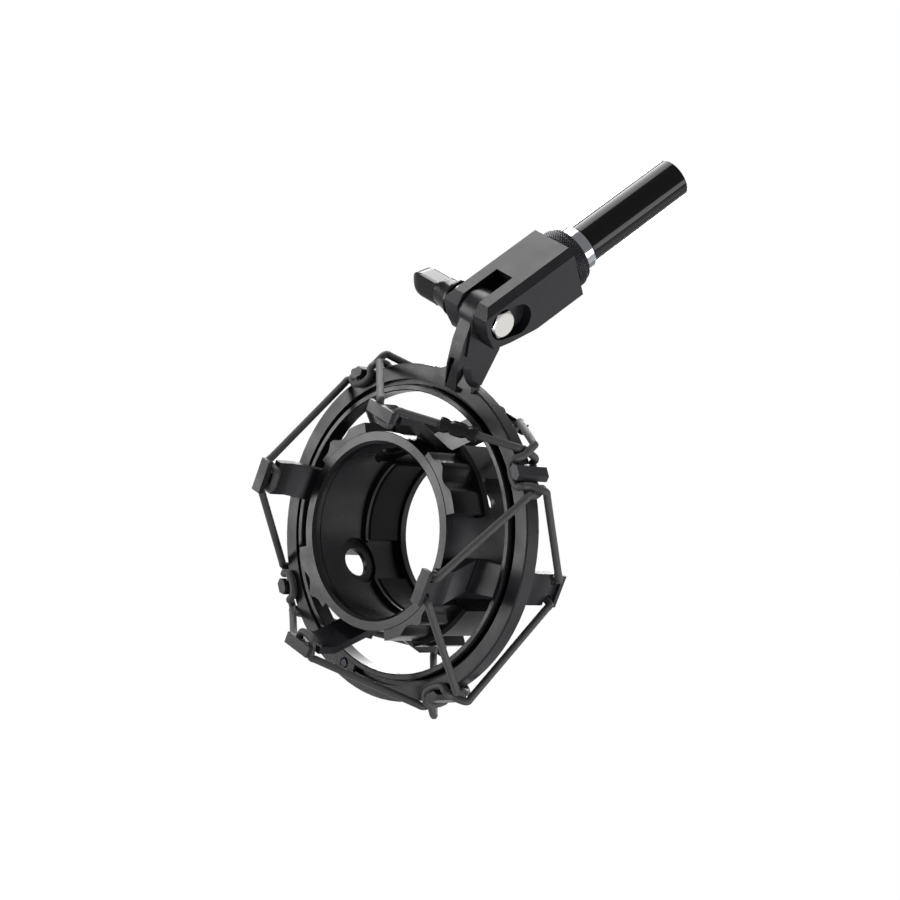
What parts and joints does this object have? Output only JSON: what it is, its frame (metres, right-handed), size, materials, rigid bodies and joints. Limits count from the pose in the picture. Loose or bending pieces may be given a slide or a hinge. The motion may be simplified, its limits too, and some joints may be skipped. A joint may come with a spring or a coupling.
{
  "type": "microphone shock mount",
  "caption": "Elastic suspension mount for a studio microphone: cord-hung round cradle with twist ring in an outer ring, on a tilting block clamped to a boom tube end.",
  "frame": {"origin": "centre of the cut end of the boom tube, where the stand's boom goes on", "axes": "+Z along the stem, away from the outer ring; +Y along the cradle's axis towards its rear, the mouth facing -Y; +X along the pivot bolt towards its head"},
  "size_m": [0.1036, 0.0941, 0.1806],
  "materials": {
    "enamelled_steel": "gloss black enamel",
    "chrome_plate": "bright chrome plate",
    "moulded_abs": "satin black",
    "glass_filled_nylon": "fine matt texture",
    "nickel_plate": "bright nickel plate",
    "silicone_rubber": "matt",
    "braided_elastic": "woven sheath over rubber"
  },
  "bodies": {
    "boom": {"boom_tube": "enamelled_steel", "boom_tip": "chrome_plate"},
    "lock": {"lock_ring": "moulded_abs"},
    "adapter": {"adapter_block": "glass_filled_nylon", "pivot_bolt": "nickel_plate", "lever_washer": "nickel_plate"},
    "lever": {"wing_lever": "glass_filled_nylon", "lever_nut": "nickel_plate"},
    "suspension": {"suspension_ring": "glass_filled_nylon", "inner_hoop": "moulded_abs", "hoop_screw": "nickel_plate", "cord_front": "braided_elastic", "cord_rear": "braided_elastic", "ferrule_front": "moulded_abs", "ferrule_rear": "moulded_abs"},
    "cradle": {"cradle_sleeve": "glass_filled_nylon", "grip_pad_1": "silicone_rubber", "grip_pad_2": "silicone_rubber", "grip_pad_3": "silicone_rubber", "grip_pad_4": "silicone_rubber"},
    "twist": {"twist_ring": "moulded_abs"}
  },
  "joints": [
    {"name": "lock_spin", "type": "hinge", "parent": "boom", "child": "lock", "pos_m": [0, -0.03732, -0.03267], "axis": [0, 0.7524, 0.6587], "continuous": true},
    {"name": "adapter_turn", "type": "hinge", "parent": "boom", "child": "adapter", "pos_m": [0, -0.03755, -0.03287], "axis": [0, 0.7524, 0.6587], "continuous": true},
    {"name": "tilt", "type": "hinge", "parent": "adapter", "child": "suspension", "pos_m": [0, -0.06181, -0.05145], "axis": [1, 0, 0], "range_deg": [-160, 44]},
    {"name": "lever_turn", "type": "hinge", "parent": "adapter", "child": "lever", "pos_m": [0, -0.06181, -0.05145], "axis": [1, 0, 0], "continuous": true},
    {"name": "cradle_float", "type": "slide", "parent": "suspension", "child": "cradle", "axis": [0, 1, 0], "range_m": [-0.003, 0.003], "stiffness_N_per_m": 400, "deforming": ["cord_front", "cord_rear"]},
    {"name": "twist_lock", "type": "hinge", "parent": "cradle", "child": "twist", "pos_m": [0, -0.05991, -0.12405], "axis": [0, 1, 0], "range_deg": [-6, 20]}
  ]
}
